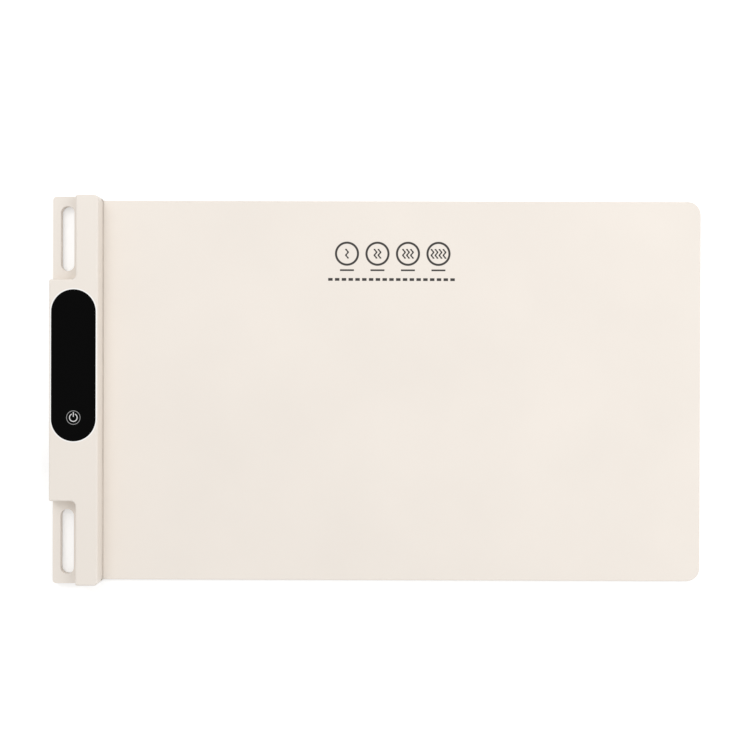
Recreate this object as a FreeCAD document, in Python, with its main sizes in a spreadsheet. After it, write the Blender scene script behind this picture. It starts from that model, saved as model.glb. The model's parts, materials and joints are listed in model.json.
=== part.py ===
import FreeCAD, Part
import os
import re

import Sketcher

# A roll-up electric warming mat: a thin silicone sheet with a heater film inside, gripped along
# one short side by a rigid control bar. X runs from the bar to the mat's free edge, Y runs along
# the bar and Z is up from the table. The origin is the middle of the footprint, on the table.
# Lengths are in millimetres. Pieces of the bar are drawn from its outer face and then put in place.

SIZES = {
    # the whole
    "overall_length": 600,
    "bar_length": 358,
    "bar_width": 45,
    "bar_height": 22,
    "mat_side_gap": 1.0,
    # mat: two silicone skins around a film
    "under_skin": 2.4,
    "film_thickness": 0.4,
    "upper_skin": 1.4,
    "film_margin": 10,
    "mat_corner": 12,
    "fold_offset": 1.0,
    "fold_gap": 0.2,
    "section_taper": 3.0,
    # tongue of the mat inside the bar
    "tongue_depth": 15,
    "tail_reach": 19,
    "tail_board_gap": 4.0,
    "tail_wall_gap": 13.5,
    # shells of the bar
    "cover_lift": 0.6,
    "wall": 2.0,
    "roof": 2.2,
    "ear_height": 8.0,
    "ridge_width": 20.6,
    "box_length": 203,
    "end_corner": 4.0,
    "ear_corner": 3.2,
    "box_corner": 1.5,
    "recess_corner": 4.7,
    "top_edge": 1.6,
    "skirt_gap": 0.2,
    # strap slots in the ears
    "slot_width": 12.5,
    "slot_end_gap": 8.75,
    "slot_inset": 7.2,
    "ear_skin": 2.0,
    # clamp strip and the screws that close the bar
    "strip_thickness": 2.0,
    "strip_width": 9.0,
    "strip_inset": 9.0,
    "strip_margin": 4.0,
    "strip_screw_margin": 16,
    "corner_screw_inset": 5.5,
    "corner_screw_margin": 6.0,
    "screw_diameter": 2.5,
    "screw_length": 12,
    "screw_play": 0.5,
    "thread_play": 0.1,
    "head_diameter": 5.0,
    "head_height": 1.4,
    "head_recess": 0.2,
    "head_play": 0.4,
    "cross_width": 0.7,
    "cross_span": 2.8,
    "cross_depth": 0.8,
    "boss_diameter": 6.4,
    "boss_play": 0.6,
    # feet
    "foot_diameter": 8.0,
    "foot_seat": 0.4,
    "foot_play": 0.2,
    "ridge_foot_inset": 7.0,
    "ridge_foot_margin": 47,
    "box_foot_inset": 8.0,
    "box_foot_margin": 35.5,
    # panel lens and its adhesive
    "lens_side_margin": 2.2,
    "lens_end_margin": 9.2,
    "lens_far_margin": 55.0,
    "lens_thickness": 1.2,
    "lens_play": 0.2,
    "tape_thickness": 0.2,
    "tape_inset": 0.4,
    "tape_width": 2.0,
    "window_width": 18,
    "window_end_margin": 13.4,
    # display board and what it carries
    "display_boss": 2.2,
    "display_boss_diameter": 5.0,
    "display_width": 20,
    "display_end_margin": 4.4,
    "display_thickness": 1.2,
    "display_screw_inset": 3.5,
    "display_screw_margin": 4.0,
    "small_screw": 2.0,
    "small_head": 3.6,
    "small_head_height": 1.2,
    "display_screw_length": 3.5,
    "digits_width": 12,
    "digits_length": 34,
    "digits_height": 2.6,
    "digits_shift": 22,
    "key_end_margin": 21.4,
    "key_ring_outer": 8.0,
    "key_ring_inner": 5.0,
    "lamp_width": 1.6,
    "lamp_length": 3.2,
    "lamp_height": 1.0,
    "lamp_pitch": 8.0,
    # power board
    "standoff_height": 4.0,
    "standoff_diameter": 5.0,
    "board_gap": 1.0,
    "board_end_gap": 10,
    "board_length": 133.5,
    "board_thickness": 1.6,
    "board_screw_inset": 3.5,
    "board_screw_length": 5.0,
    # mains inlet
    "inlet_place": 21.5,
    "inlet_rise": 1.2,
    "inlet_depth": 14,
    "inlet_back": 1.5,
    "inlet_wall": 1.0,
    "inlet_bore": 8.0,
    "inlet_play": 0.2,
    "inlet_foot_width": 12,
    "inlet_foot_start": 4.0,
    "pin_pitch": 8.6,
    "pin_diameter": 2.4,
    "pin_recess": 3.5,
    "pin_play": 0.05,
    "pin_tail": 1.4,
    "pin_overhang": 1.6,
    "tail_drop": 1.0,
    # electrical pieces on the power board
    "x_capacitor_width": 7,
    "x_capacitor_length": 16,
    "x_capacitor_height": 10.5,
    "x_capacitor_back": 33.4,
    "choke_diameter": 9,
    "choke_waist": 6,
    "choke_height": 9,
    "choke_flange": 1.2,
    "choke_back": 19.4,
    "can_diameter": 8,
    "can_height": 10.5,
    "can_vent": 0.4,
    "can_back": 7.9,
    "tall_inset": 7.0,
    "fuse_diameter": 5.2,
    "fuse_length": 20,
    "fuse_cap": 5,
    "fuse_inset": 6.5,
    "fuse_rise": 4.0,
    "fuse_place": 47.5,
    "clip_width": 3.6,
    "clip_wall": 0.6,
    "spreader_width": 14,
    "spreader_length": 20,
    "spreader_thickness": 1.5,
    "spreader_inset": 9.5,
    "spreader_place": 70.5,
    "triac_width": 10,
    "triac_length": 9,
    "triac_height": 4.4,
    "triac_hole": 3.2,
    "triac_tab": 6,
    "triac_tab_thickness": 1.3,
    "buzzer_diameter": 9,
    "buzzer_height": 4.5,
    "buzzer_hole": 1.6,
    "buzzer_hole_depth": 1.0,
    "buzzer_inset": 5.5,
    "buzzer_place": 76.5,
    "block_width": 10,
    "block_length": 12,
    "block_height": 7.4,
    "block_inset": 7.5,
    "block_back": 14.0,
    "block_hole": 3.4,
    "block_hole_depth": 5.0,
    "lead_pitch": 5.0,
    "lead_diameter": 1.8,
    "lead_rise": 3.6,
    "lead_overlap": 6.0,
    "lead_bend": 4.0,
    "lead_play": 0.2,
    "ribbon_width": 12,
    "ribbon_thickness": 0.6,
    "ribbon_inset": 11,
    "ribbon_place": 101.5,
    # heat sensing on the tail
    "bead_diameter": 2.0,
    "bead_length": 4.0,
    "bead_inset": 4.0,
    "bead_offset": 9.0,
    "sensor_lead": 0.6,
    "sensor_pitch": 1.0,
    "sensor_bend": 2.0,
    "sensor_rise": 1.0,
    "sensor_end": 6.0,
    "cutoff_diameter": 3.6,
    "cutoff_length": 9,
    "cutoff_inset": 14,
    "cutoff_offset": 6.0,
    "cutoff_lead": 0.8,
    "cutoff_lead_length": 3.5,
}

SECTIONS = 10
STRIP_SCREWS = 6
LAMPS = 3

# Places that follow from the sizes. Those across the bar are counted from its outer face.
BAR_PLACE = "(-overall_length / 2)"
RIDGE_LEFT = "(bar_width - ridge_width)"
MAT_WIDTH = "(bar_length - 2 * (wall + mat_side_gap))"
FILM_WIDTH = f"({MAT_WIDTH} - 2 * film_margin)"
FILM_TOP = "(under_skin + film_thickness)"
MAT_TOP = f"({FILM_TOP} + upper_skin)"
STRIP_TOP = f"({MAT_TOP} + strip_thickness)"
STRIP_LINE = "(bar_width - strip_inset)"
STRIP_REACH = "(bar_length / 2 - wall - mat_side_gap - strip_screw_margin)"
TONGUE_START = "(bar_width - tongue_depth)"
TONGUE_END = "(bar_width + fold_offset - fold_gap / 2)"
ROOF_UNDER = "(bar_height - roof)"
SCREW_SEAT = "(cover_lift + head_recess + head_height)"
EAR_MIDDLE = "((bar_length + box_length) / 4)"
SLOT_LINE = "(slot_inset + slot_width / 2)"
SLOT_LENGTH = "((bar_length - box_length) / 2 - 2 * slot_end_gap)"
LENS_LINE = "(bar_width / 2)"
LENS_WIDTH = "(bar_width - 2 * lens_side_margin)"
LENS_LENGTH = "(box_length - lens_end_margin - lens_far_margin)"
LENS_MIDDLE = "((lens_far_margin - lens_end_margin) / 2)"
WINDOW_LENGTH = f"({LENS_LENGTH} - 2 * window_end_margin)"
DISPLAY_LENGTH = f"({LENS_LENGTH} - 2 * display_end_margin)"
KEY_LINE = f"({LENS_MIDDLE} - {LENS_LENGTH} / 2 + key_end_margin)"
LENS_UNDER = "(bar_height - lens_thickness)"
TAPE_UNDER = f"({LENS_UNDER} - tape_thickness)"
DISPLAY_TOP = f"({ROOF_UNDER} - display_boss)"
DISPLAY_UNDER = f"({DISPLAY_TOP} - display_thickness)"
BOARD_LEFT = "(wall + board_gap)"
BOARD_RIGHT = f"({STRIP_LINE} - strip_width / 2 - board_gap)"
BOARD_START = "(-box_length / 2 + board_end_gap)"
BOARD_END = f"({BOARD_START} + board_length)"
BOARD_UNDER = "(under_skin + standoff_height)"
BOARD_TOP = f"({BOARD_UNDER} + board_thickness)"
SHROUD_HEIGHT = "(inlet_bore + 2 * inlet_wall)"
SHROUD_WIDTH = "(inlet_bore + pin_pitch + 2 * inlet_wall)"
INLET_AXIS = f"({BOARD_TOP} + inlet_rise + {SHROUD_HEIGHT} / 2)"
TALL_LINE = f"({BOARD_RIGHT} - tall_inset)"
TALL_END = f"({LENS_MIDDLE} - {DISPLAY_LENGTH} / 2)"
INLET_MIDDLE = f"({BOARD_START} + inlet_place)"
PIN_TAIL_LINE = "(inlet_depth + pin_overhang - pin_tail / 2)"
TAIL_START = f"({TONGUE_START} - tail_reach)"
TAIL_LOW = f"({BOARD_END} + tail_board_gap)"
TAIL_HIGH = "(box_length / 2 - wall - tail_wall_gap)"
TAIL_MIDDLE = f"(({TAIL_LOW} + {TAIL_HIGH}) / 2)"
FIRST_SECTION = (
    f"((overall_length - bar_width - fold_offset) / {SECTIONS} + section_taper * {SECTIONS - 1} / 2)"
)

doc = FreeCAD.newDocument("WarmingMat")
sheet = doc.addObject("Spreadsheet::Sheet", "Sizes")
for row, (size_name, size) in enumerate(SIZES.items(), start=1):
    sheet.set(f"A{row}", size_name)
    sheet.set(f"B{row}", str(size))
    sheet.setAlias(f"B{row}", size_name)
doc.recompute()

nodes = []


def formula(text):
    """Write a sum of sizes the way the sheet's readers want it."""

    def written(word):
        return "Sizes." + word.group() if word.group() in SIZES else word.group()

    return re.sub(r"[a-z_]+", written, text)


def value(text):
    """What a sum of sizes comes to now."""
    return float(sheet.evalExpression(formula(text)))


def bind(thing, setting, text):
    """Tie one setting of an object to the sheet."""
    thing.setExpression(setting, formula(text))


def new_node(label, along="0"):
    """A body for one piece, placed along X from the bar's outer face."""
    body = doc.addObject("PartDesign::Body", label)
    body.Label = label
    bind(body, "Placement.Base.x", f"{BAR_PLACE} + {along}")
    nodes.append(body)
    return body


def origin_part(body, role):
    """One of the planes or axes that a body is drawn on."""
    return next(part for part in body.Origin.OriginFeatures if part.Role == role)


def new_sketch(body, level, plane="XY_Plane"):
    """A sketch on one of the body's own planes, moved along its normal."""
    sketch = body.newObject("Sketcher::SketchObject", body.Name + "_sketch")
    sketch.AttachmentSupport = [(origin_part(body, plane), "")]
    sketch.MapMode = "FlatFace"
    bind(sketch, "AttachmentOffset.Base.z", level)
    return sketch


def measure(sketch, kind, geometry, point, text):
    """Fix a point of the sketch by its distance from the sketch's origin."""
    index = sketch.addConstraint(Sketcher.Constraint(kind, -1, 1, geometry, point, value(text)))
    bind(sketch, f"Constraints[{index}]", text)


def set_radius(sketch, geometry, text):
    """Fix the radius of a circle or an arc."""
    index = sketch.addConstraint(Sketcher.Constraint("Radius", geometry, value(text)))
    bind(sketch, f"Constraints[{index}]", text)


def polygon(sketch, corners):
    """A closed outline through the given corners."""
    first = sketch.GeometryCount
    spots = [FreeCAD.Vector(value(x), value(y), 0) for x, y in corners]
    for start, end in zip(spots, spots[1:] + spots[:1]):
        sketch.addGeometry(Part.LineSegment(start, end), False)
    for index, (x, y) in enumerate(corners):
        before = first + (index - 1) % len(corners)
        sketch.addConstraint(Sketcher.Constraint("Coincident", before, 2, first + index, 1))
        measure(sketch, "DistanceX", first + index, 1, x)
        measure(sketch, "DistanceY", first + index, 1, y)


def rectangle(sketch, left, right, low, high):
    """A rectangle between two X and two Y places."""
    polygon(sketch, [(left, low), (right, low), (right, high), (left, high)])


def block_outline(sketch, x, y, width, length):
    """A rectangle around a middle point."""
    rectangle(
        sketch,
        f"{x} - ({width}) / 2",
        f"{x} + ({width}) / 2",
        f"{y} - ({length}) / 2",
        f"{y} + ({length}) / 2",
    )


def circle(sketch, x, y, radius):
    """A circle around a point."""
    centre = FreeCAD.Vector(value(x), value(y), 0)
    geometry = sketch.addGeometry(Part.Circle(centre, FreeCAD.Vector(0, 0, 1), value(radius)), False)
    measure(sketch, "DistanceX", geometry, 3, x)
    measure(sketch, "DistanceY", geometry, 3, y)
    set_radius(sketch, geometry, radius)


def stadium(sketch, x, y, width, length, lengthwise="y"):
    """A slot outline with round ends, long along the sketch's X or Y."""
    width = f"({width})"
    half = f"(({length}) - {width}) / 2"
    if lengthwise == "y":
        ends = [(x, f"{y} + {half}"), (x, f"{y} - {half}")]
        side = FreeCAD.Vector(value(width) / 2, 0, 0)
        start_angle = 0
    else:
        ends = [(f"{x} - {half}", y), (f"{x} + {half}", y)]
        side = FreeCAD.Vector(0, value(width) / 2, 0)
        start_angle = 90
    far, near = [FreeCAD.Vector(value(a), value(b), 0) for a, b in ends]
    up = FreeCAD.Vector(0, 0, 1)
    first = sketch.GeometryCount
    sketch.addGeometry(Part.LineSegment(near + side, far + side), False)
    for centre, turn in ((far, start_angle), (near, start_angle + 180)):
        whole = Part.Circle(centre, up, value(width) / 2)
        start = FreeCAD.Units.Quantity(turn, FreeCAD.Units.Angle).getValueAs("rad")
        end = FreeCAD.Units.Quantity(turn + 180, FreeCAD.Units.Angle).getValueAs("rad")
        sketch.addGeometry(Part.ArcOfCircle(whole, float(start), float(end)), False)
        if centre is far:
            sketch.addGeometry(Part.LineSegment(far - side, near - side), False)
    for index in range(4):
        after = first + (index + 1) % 4
        sketch.addConstraint(Sketcher.Constraint("Tangent", first + index, 2, after, 1))
    for geometry, (a, b) in ((first + 1, ends[0]), (first + 3, ends[1])):
        measure(sketch, "DistanceX", geometry, 3, a)
        measure(sketch, "DistanceY", geometry, 3, b)
    set_radius(sketch, first + 1, f"{width} / 2")
    sketch.addConstraint(Sketcher.Constraint("Equal", first + 1, first + 3))


def circles(sketch, places, radius):
    """Equal circles at a list of places."""
    for x, y in places:
        circle(sketch, x, y, radius)


def pad(body, sketch, height):
    """Raise a sketch along its normal."""
    feature = body.newObject("PartDesign::Pad", body.Name + "_pad")
    feature.Profile = sketch
    bind(feature, "Length", height)
    doc.recompute()
    return feature


def pocket(body, sketch, depth):
    """Cut a sketch down against its normal and make sure that it took something away."""
    before = body.Shape.Volume
    feature = body.newObject("PartDesign::Pocket", body.Name + "_pocket")
    feature.Profile = sketch
    bind(feature, "Length", depth)
    doc.recompute()
    if not body.Shape.Volume < before:
        raise RuntimeError(f"{feature.Name} cuts nothing")
    return feature


def upright_edges(body, places):
    """Names of the vertical edges that stand at the given places of a body."""
    found = []
    for x, y in places:
        spot = FreeCAD.Vector(value(x), value(y), 0)
        for index, edge in enumerate(body.Tip.Shape.Edges, start=1):
            ends = [vertex.Point for vertex in edge.Vertexes]
            if all((FreeCAD.Vector(end.x, end.y, 0) - spot).Length < 1e-4 for end in ends):
                found.append(f"Edge{index}")
    return found


def fillet(body, edges, radius):
    """Round the named edges of a body."""
    if not edges:
        raise RuntimeError(f"{body.Name} has no edge to round")
    base = body.Tip
    feature = body.newObject("PartDesign::Fillet", body.Name + "_fillet")
    feature.Base = (base, edges)
    bind(feature, "Radius", radius)
    doc.recompute()
    return feature


def top_edges(body, level):
    """Names of the outer edges of the top face of a body."""
    height = value(level)
    shape = body.Tip.Shape
    top = next(face for face in shape.Faces if abs(face.BoundBox.ZMin - height) < 1e-6)
    return [f"Edge{index}" for index, edge in enumerate(shape.Edges, start=1)
            if any(edge.isSame(other) for other in top.OuterWire.Edges)]


def plus_outline(sketch, x, y):
    """The cross that a screwdriver fits."""
    arm = "cross_span / 2"
    half = "cross_width / 2"
    steps = [
        (half, half), (half, arm), (f"-{half}", arm), (f"-{half}", half),
        (f"-{arm}", half), (f"-{arm}", f"-{half}"), (f"-{half}", f"-{half}"), (f"-{half}", f"-{arm}"),
        (half, f"-{arm}"), (half, f"-{half}"), (arm, f"-{half}"), (arm, half),
    ]
    polygon(sketch, [(f"{x} + ({across})", f"{y} + ({along})") for across, along in steps])


def wire(body, across, points, diameter):
    """A bent lead in a plane across the bar, from the first (y, z) point to the last."""
    path = new_sketch(body, across, "YZ_Plane")
    spots = [FreeCAD.Vector(value(y), value(z), 0) for y, z in points]
    for start, end in zip(spots, spots[1:]):
        path.addGeometry(Part.LineSegment(start, end), False)
    for index, (y, z) in enumerate(points[:-1]):
        measure(path, "DistanceX", index, 1, y)
        measure(path, "DistanceY", index, 1, z)
        if index:
            path.addConstraint(Sketcher.Constraint("Coincident", index - 1, 2, index, 1))
    last_y, last_z = points[-1]
    measure(path, "DistanceX", len(points) - 2, 2, last_y)
    measure(path, "DistanceY", len(points) - 2, 2, last_z)
    start_y, start_z = points[0]
    profile = new_sketch(body, f"-({start_y})", "XZ_Plane")
    circle(profile, across, start_z, f"{diameter} / 2")
    doc.recompute()
    pipe = body.newObject("PartDesign::AdditivePipe", body.Name + "_pipe")
    pipe.Profile = profile
    pipe.Spine = (path, [f"Edge{index + 1}" for index in range(len(points) - 1)])
    pipe.Transition = "Round corner"
    doc.recompute()


def strip_screw_places():
    """Where the row of screws goes through the clamp strip."""
    return [
        (STRIP_LINE, f"{STRIP_REACH} * {2 * index - STRIP_SCREWS + 1} / {STRIP_SCREWS - 1}")
        for index in range(STRIP_SCREWS)
    ]


def corner_screw_places():
    """Where the two screws at the box's outer corners are."""
    along = "(box_length / 2 - corner_screw_margin)"
    return [("corner_screw_inset", f"-{along}"), ("corner_screw_inset", along)]


def board_screw_places():
    """The four corners in which the power board is held."""
    left = f"{BOARD_LEFT} + board_screw_inset"
    right = f"{BOARD_RIGHT} - board_screw_inset - board_gap"
    low = f"{BOARD_START} + board_screw_inset"
    high = f"{BOARD_END} - board_screw_inset"
    return [(left, low), (right, low), (left, high), (right, high)]


def display_screw_places():
    """The four corners in which the display board is held."""
    return [
        (f"{LENS_LINE} {across} (display_width / 2 - display_screw_inset)",
         f"{LENS_MIDDLE} {along} ({DISPLAY_LENGTH} / 2 - display_screw_margin)")
        for across in "-+" for along in "-+"
    ]


def foot_places():
    """Two feet under the ridge and two under the box."""
    ridge = "bar_width - ridge_foot_inset"
    ridge_along = "(bar_length / 2 - ridge_foot_margin)"
    box_along = "(box_length / 2 - box_foot_margin)"
    return [
        (ridge, f"-{ridge_along}"), (ridge, ridge_along),
        ("box_foot_inset", f"-{box_along}"), ("box_foot_inset", box_along),
    ]


def section_start(index):
    """Distance from the bar's outer face to the fold that a mat section hangs on."""
    lost = index * (index - 1) // 2
    return f"(bar_width + fold_offset + {index} * {FIRST_SECTION} - {lost} * section_taper)"


def section_span(index):
    """Length of a mat section: each is a little shorter than the one before it."""
    return f"({FIRST_SECTION} - {index} * section_taper - fold_gap)"


def mat_sheet(label, index, level, thickness, width, end_margin="0"):
    """One layer of one mat section. The last section has the mat's round corners."""
    body = new_node(label, f"{section_start(index)} + fold_gap / 2")
    outline = new_sketch(body, level)
    last = index == SECTIONS - 1
    right = f"{section_span(index)} + fold_gap / 2 - {end_margin}" if last else section_span(index)
    rectangle(outline, "0", right, f"-({width}) / 2", f"({width}) / 2")
    pad(body, outline, thickness)
    if last and end_margin == "0":
        corners = upright_edges(body, [(right, f"-({width}) / 2"), (right, f"({width}) / 2")])
        fillet(body, corners, "mat_corner")
    return body


def mat_section(index):
    """Top skin, heater film and bottom skin between two folds of the mat."""
    number = index + 1
    end_margin = "film_margin" if index == SECTIONS - 1 else "0"
    mat_sheet(f"mat_top_skin_{number}", index, FILM_TOP, "upper_skin", MAT_WIDTH)
    mat_sheet(f"heater_film_{number}", index, "under_skin", "film_thickness", FILM_WIDTH, end_margin)
    skin = mat_sheet(f"mat_bottom_skin_{number}", index, "0", FILM_TOP, MAT_WIDTH)
    bed = new_sketch(skin, FILM_TOP)
    right = section_span(index)
    if index == SECTIONS - 1:
        right = f"{section_span(index)} + fold_gap / 2 - {end_margin}"
    rectangle(bed, "0", right, f"-{FILM_WIDTH} / 2", f"{FILM_WIDTH} / 2")
    pocket(skin, bed, "film_thickness")


def mat_tongue():
    """The end of the mat that is gripped in the bar, and the film's connection tail."""
    skin = new_node("mat_tongue")
    outline = new_sketch(skin, FILM_TOP)
    rectangle(outline, TONGUE_START, TONGUE_END, f"-{MAT_WIDTH} / 2", f"{MAT_WIDTH} / 2")
    circles(outline, strip_screw_places(), "(boss_diameter + boss_play) / 2")
    pad(skin, outline, "upper_skin")
    film = new_node("film_tongue")
    half = f"({FILM_WIDTH} / 2)"
    outline = new_sketch(film, "under_skin")
    polygon(outline, [
        (TONGUE_START, f"-{half}"), (TONGUE_END, f"-{half}"), (TONGUE_END, half), (TONGUE_START, half),
        (TONGUE_START, TAIL_HIGH), (TAIL_START, TAIL_HIGH), (TAIL_START, TAIL_LOW), (TONGUE_START, TAIL_LOW),
    ])
    circles(outline, strip_screw_places(), "(boss_diameter + boss_play) / 2")
    pad(film, outline, "film_thickness")


def bottom_cover():
    """The bar's tray: two slotted ears, a floor under the mat's tongue, and no wall on the mat's side."""
    body = new_node("bottom_cover")
    half = "bar_length / 2"
    outline = new_sketch(body, "cover_lift")
    rectangle(outline, "0", "bar_width", f"-{half}", half)
    pad(body, outline, "ear_height - cover_lift")
    fillet(body, upright_edges(body, [("0", f"-{half}"), ("0", half)]), "ear_corner")
    fillet(body, upright_edges(body, [("bar_width", f"-{half}"), ("bar_width", half)]), "end_corner")
    inside = new_sketch(body, "ear_height")
    past = "bar_width + wall"
    box_half = "(box_length / 2 - wall)"
    ridge_half = "(bar_length / 2 - wall)"
    ridge_inner = f"{RIDGE_LEFT} + wall"
    polygon(inside, [
        ("wall", f"-{box_half}"), (ridge_inner, f"-{box_half}"), (ridge_inner, f"-{ridge_half}"),
        (past, f"-{ridge_half}"), (past, ridge_half), (ridge_inner, ridge_half),
        (ridge_inner, box_half), ("wall", box_half),
    ])
    pocket(body, inside, "ear_height - under_skin")
    slots = new_sketch(body, "ear_height")
    for side in "-+":
        stadium(slots, SLOT_LINE, f"{side}{EAR_MIDDLE}", "slot_width", SLOT_LENGTH)
    pocket(body, slots, "ear_height")
    cores = new_sketch(body, "ear_height - ear_skin")
    ear_half = "((bar_length - box_length) / 4 - wall)"
    for side in "-+":
        middle = f"{side}{EAR_MIDDLE}"
        rectangle(cores, "wall", RIDGE_LEFT, f"{middle} - {ear_half}", f"{middle} + {ear_half}")
        stadium(cores, SLOT_LINE, middle, "slot_width + 2 * wall", f"{SLOT_LENGTH} + 2 * wall")
    pocket(body, cores, "ear_height")
    strip_bosses = new_sketch(body, "under_skin")
    circles(strip_bosses, strip_screw_places(), "boss_diameter / 2")
    pad(body, strip_bosses, f"{MAT_TOP} - under_skin")
    corner_bosses = new_sketch(body, "under_skin")
    circles(corner_bosses, corner_screw_places(), "boss_diameter / 2")
    pad(body, corner_bosses, "ear_height - under_skin")
    standoffs = new_sketch(body, "under_skin")
    circles(standoffs, board_screw_places(), "standoff_diameter / 2")
    pad(body, standoffs, "standoff_height")
    pilots = new_sketch(body, BOARD_UNDER)
    circles(pilots, board_screw_places(), "(small_screw + thread_play) / 2")
    pocket(body, pilots, "standoff_height")
    shafts = new_sketch(body, "ear_height")
    circles(shafts, strip_screw_places() + corner_screw_places(), "(screw_diameter + screw_play) / 2")
    pocket(body, shafts, "ear_height")
    recesses = new_sketch(body, SCREW_SEAT)
    circles(recesses, strip_screw_places() + corner_screw_places(), "(head_diameter + head_play) / 2")
    pocket(body, recesses, SCREW_SEAT)
    feet = new_sketch(body, "cover_lift + foot_seat")
    circles(feet, foot_places(), "(foot_diameter + foot_play) / 2")
    pocket(body, feet, "foot_seat + cover_lift")


def top_cover():
    """The bar's hood: a box in the middle and a ridge to both ends, over the clamp strip."""
    body = new_node("top_cover")
    box_half = "(box_length / 2)"
    ridge_half = "(bar_length / 2)"
    outline = new_sketch(body, "ear_height")
    polygon(outline, [
        ("0", f"-{box_half}"), (RIDGE_LEFT, f"-{box_half}"), (RIDGE_LEFT, f"-{ridge_half}"),
        ("bar_width", f"-{ridge_half}"), ("bar_width", ridge_half), (RIDGE_LEFT, ridge_half),
        (RIDGE_LEFT, box_half), ("0", box_half),
    ])
    pad(body, outline, "bar_height - ear_height")
    for across, along, radius in (
        ("0", box_half, "box_corner"), (RIDGE_LEFT, box_half, "recess_corner"),
        (RIDGE_LEFT, ridge_half, "box_corner"), ("bar_width", ridge_half, "end_corner"),
    ):
        fillet(body, upright_edges(body, [(across, f"-{along}"), (across, along)]), radius)
    fillet(body, top_edges(body, "bar_height"), "top_edge")
    inside = new_sketch(body, ROOF_UNDER)
    ridge_inner = f"({RIDGE_LEFT} + wall)"
    inner_box = f"({box_half} - wall)"
    inner_ridge = f"({ridge_half} - wall)"
    far = "(bar_width - wall)"
    polygon(inside, [
        ("wall", f"-{inner_box}"), (ridge_inner, f"-{inner_box}"), (ridge_inner, f"-{inner_ridge}"),
        (far, f"-{inner_ridge}"), (far, inner_ridge), (ridge_inner, inner_ridge),
        (ridge_inner, inner_box), ("wall", inner_box),
    ])
    pocket(body, inside, ROOF_UNDER)
    skirt = new_sketch(body, f"{MAT_TOP} + skirt_gap")
    skirt_half = f"({ridge_half} - end_corner)"
    rectangle(skirt, far, "bar_width", f"-{skirt_half}", skirt_half)
    pad(body, skirt, f"ear_height - {MAT_TOP} - skirt_gap")
    strip_bosses = new_sketch(body, STRIP_TOP)
    circles(strip_bosses, strip_screw_places(), "boss_diameter / 2")
    pad(body, strip_bosses, f"{ROOF_UNDER} - {STRIP_TOP}")
    corner_bosses = new_sketch(body, "ear_height")
    circles(corner_bosses, corner_screw_places(), "boss_diameter / 2")
    pad(body, corner_bosses, f"{ROOF_UNDER} - ear_height")
    pilots = new_sketch(body, f"{SCREW_SEAT} + screw_length + thread_play")
    circles(pilots, strip_screw_places() + corner_screw_places(), "(screw_diameter + thread_play) / 2")
    pocket(body, pilots, "bar_height")
    seat = new_sketch(body, "bar_height")
    stadium(seat, LENS_LINE, LENS_MIDDLE, f"{LENS_WIDTH} + 2 * lens_play", f"{LENS_LENGTH} + 2 * lens_play")
    pocket(body, seat, f"bar_height - {TAPE_UNDER}")
    window = new_sketch(body, "bar_height")
    block_outline(window, LENS_LINE, LENS_MIDDLE, "window_width", WINDOW_LENGTH)
    pocket(body, window, "roof")
    display_bosses = new_sketch(body, DISPLAY_TOP)
    circles(display_bosses, display_screw_places(), "display_boss_diameter / 2")
    pad(body, display_bosses, "display_boss")
    small_pilots = new_sketch(body, f"{DISPLAY_UNDER} + display_screw_length + thread_play")
    circles(small_pilots, display_screw_places(), "(small_screw + thread_play) / 2")
    pocket(body, small_pilots, "display_screw_length")
    mouth = new_sketch(body, "wall", "YZ_Plane")
    stadium(
        mouth, INLET_MIDDLE, INLET_AXIS,
        f"{SHROUD_HEIGHT} + 2 * inlet_play", f"{SHROUD_WIDTH} + 2 * inlet_play", "x",
    )
    pocket(body, mouth, "wall")


def panel_lens():
    """The glossy panel over the display and the touch key, with its adhesive."""
    lens = new_node("panel_lens")
    outline = new_sketch(lens, LENS_UNDER)
    stadium(outline, LENS_LINE, LENS_MIDDLE, LENS_WIDTH, LENS_LENGTH)
    pad(lens, outline, "lens_thickness")
    tape = new_node("lens_adhesive")
    ring = new_sketch(tape, TAPE_UNDER)
    outer = "2 * tape_inset"
    inner = "2 * (tape_inset + tape_width)"
    stadium(ring, LENS_LINE, LENS_MIDDLE, f"({LENS_WIDTH} - {outer})", f"({LENS_LENGTH} - {outer})")
    stadium(ring, LENS_LINE, LENS_MIDDLE, f"({LENS_WIDTH} - {inner})", f"({LENS_LENGTH} - {inner})")
    pad(tape, ring, "tape_thickness")


def display_board():
    """The board under the lens with its digits, lamps and touch electrode."""
    board = new_node("display_board")
    outline = new_sketch(board, DISPLAY_UNDER)
    block_outline(outline, LENS_LINE, LENS_MIDDLE, "display_width", DISPLAY_LENGTH)
    circles(outline, display_screw_places(), "(small_screw + screw_play) / 2")
    pad(board, outline, "display_thickness")
    digits = new_node("digit_display")
    outline = new_sketch(digits, DISPLAY_TOP)
    block_outline(outline, LENS_LINE, f"({LENS_MIDDLE} + digits_shift)", "digits_width", "digits_length")
    pad(digits, outline, "digits_height")
    electrode = new_node("touch_electrode")
    outline = new_sketch(electrode, DISPLAY_TOP)
    for diameter in ("key_ring_outer", "key_ring_inner"):
        circle(outline, LENS_LINE, KEY_LINE, f"{diameter} / 2")
    pad(electrode, outline, f"{LENS_UNDER} - {DISPLAY_TOP}")
    lamps = new_node("status_lamps")
    outline = new_sketch(lamps, DISPLAY_TOP)
    for index in range(LAMPS):
        along = f"({KEY_LINE} + {index} * lamp_pitch)"
        block_outline(outline, LENS_LINE, along, "lamp_width", "lamp_length")
    pad(lamps, outline, "lamp_height")


def power_board():
    """The board on the bar's floor."""
    body = new_node("power_board")
    outline = new_sketch(body, BOARD_UNDER)
    rectangle(outline, BOARD_LEFT, BOARD_RIGHT, BOARD_START, BOARD_END)
    circles(outline, board_screw_places(), "(small_screw + screw_play) / 2")
    for side in "-+":
        circle(outline, PIN_TAIL_LINE, f"{INLET_MIDDLE} {side} pin_pitch / 2", "(pin_tail / 2 + pin_play)")
    pad(body, outline, "board_thickness")


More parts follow.
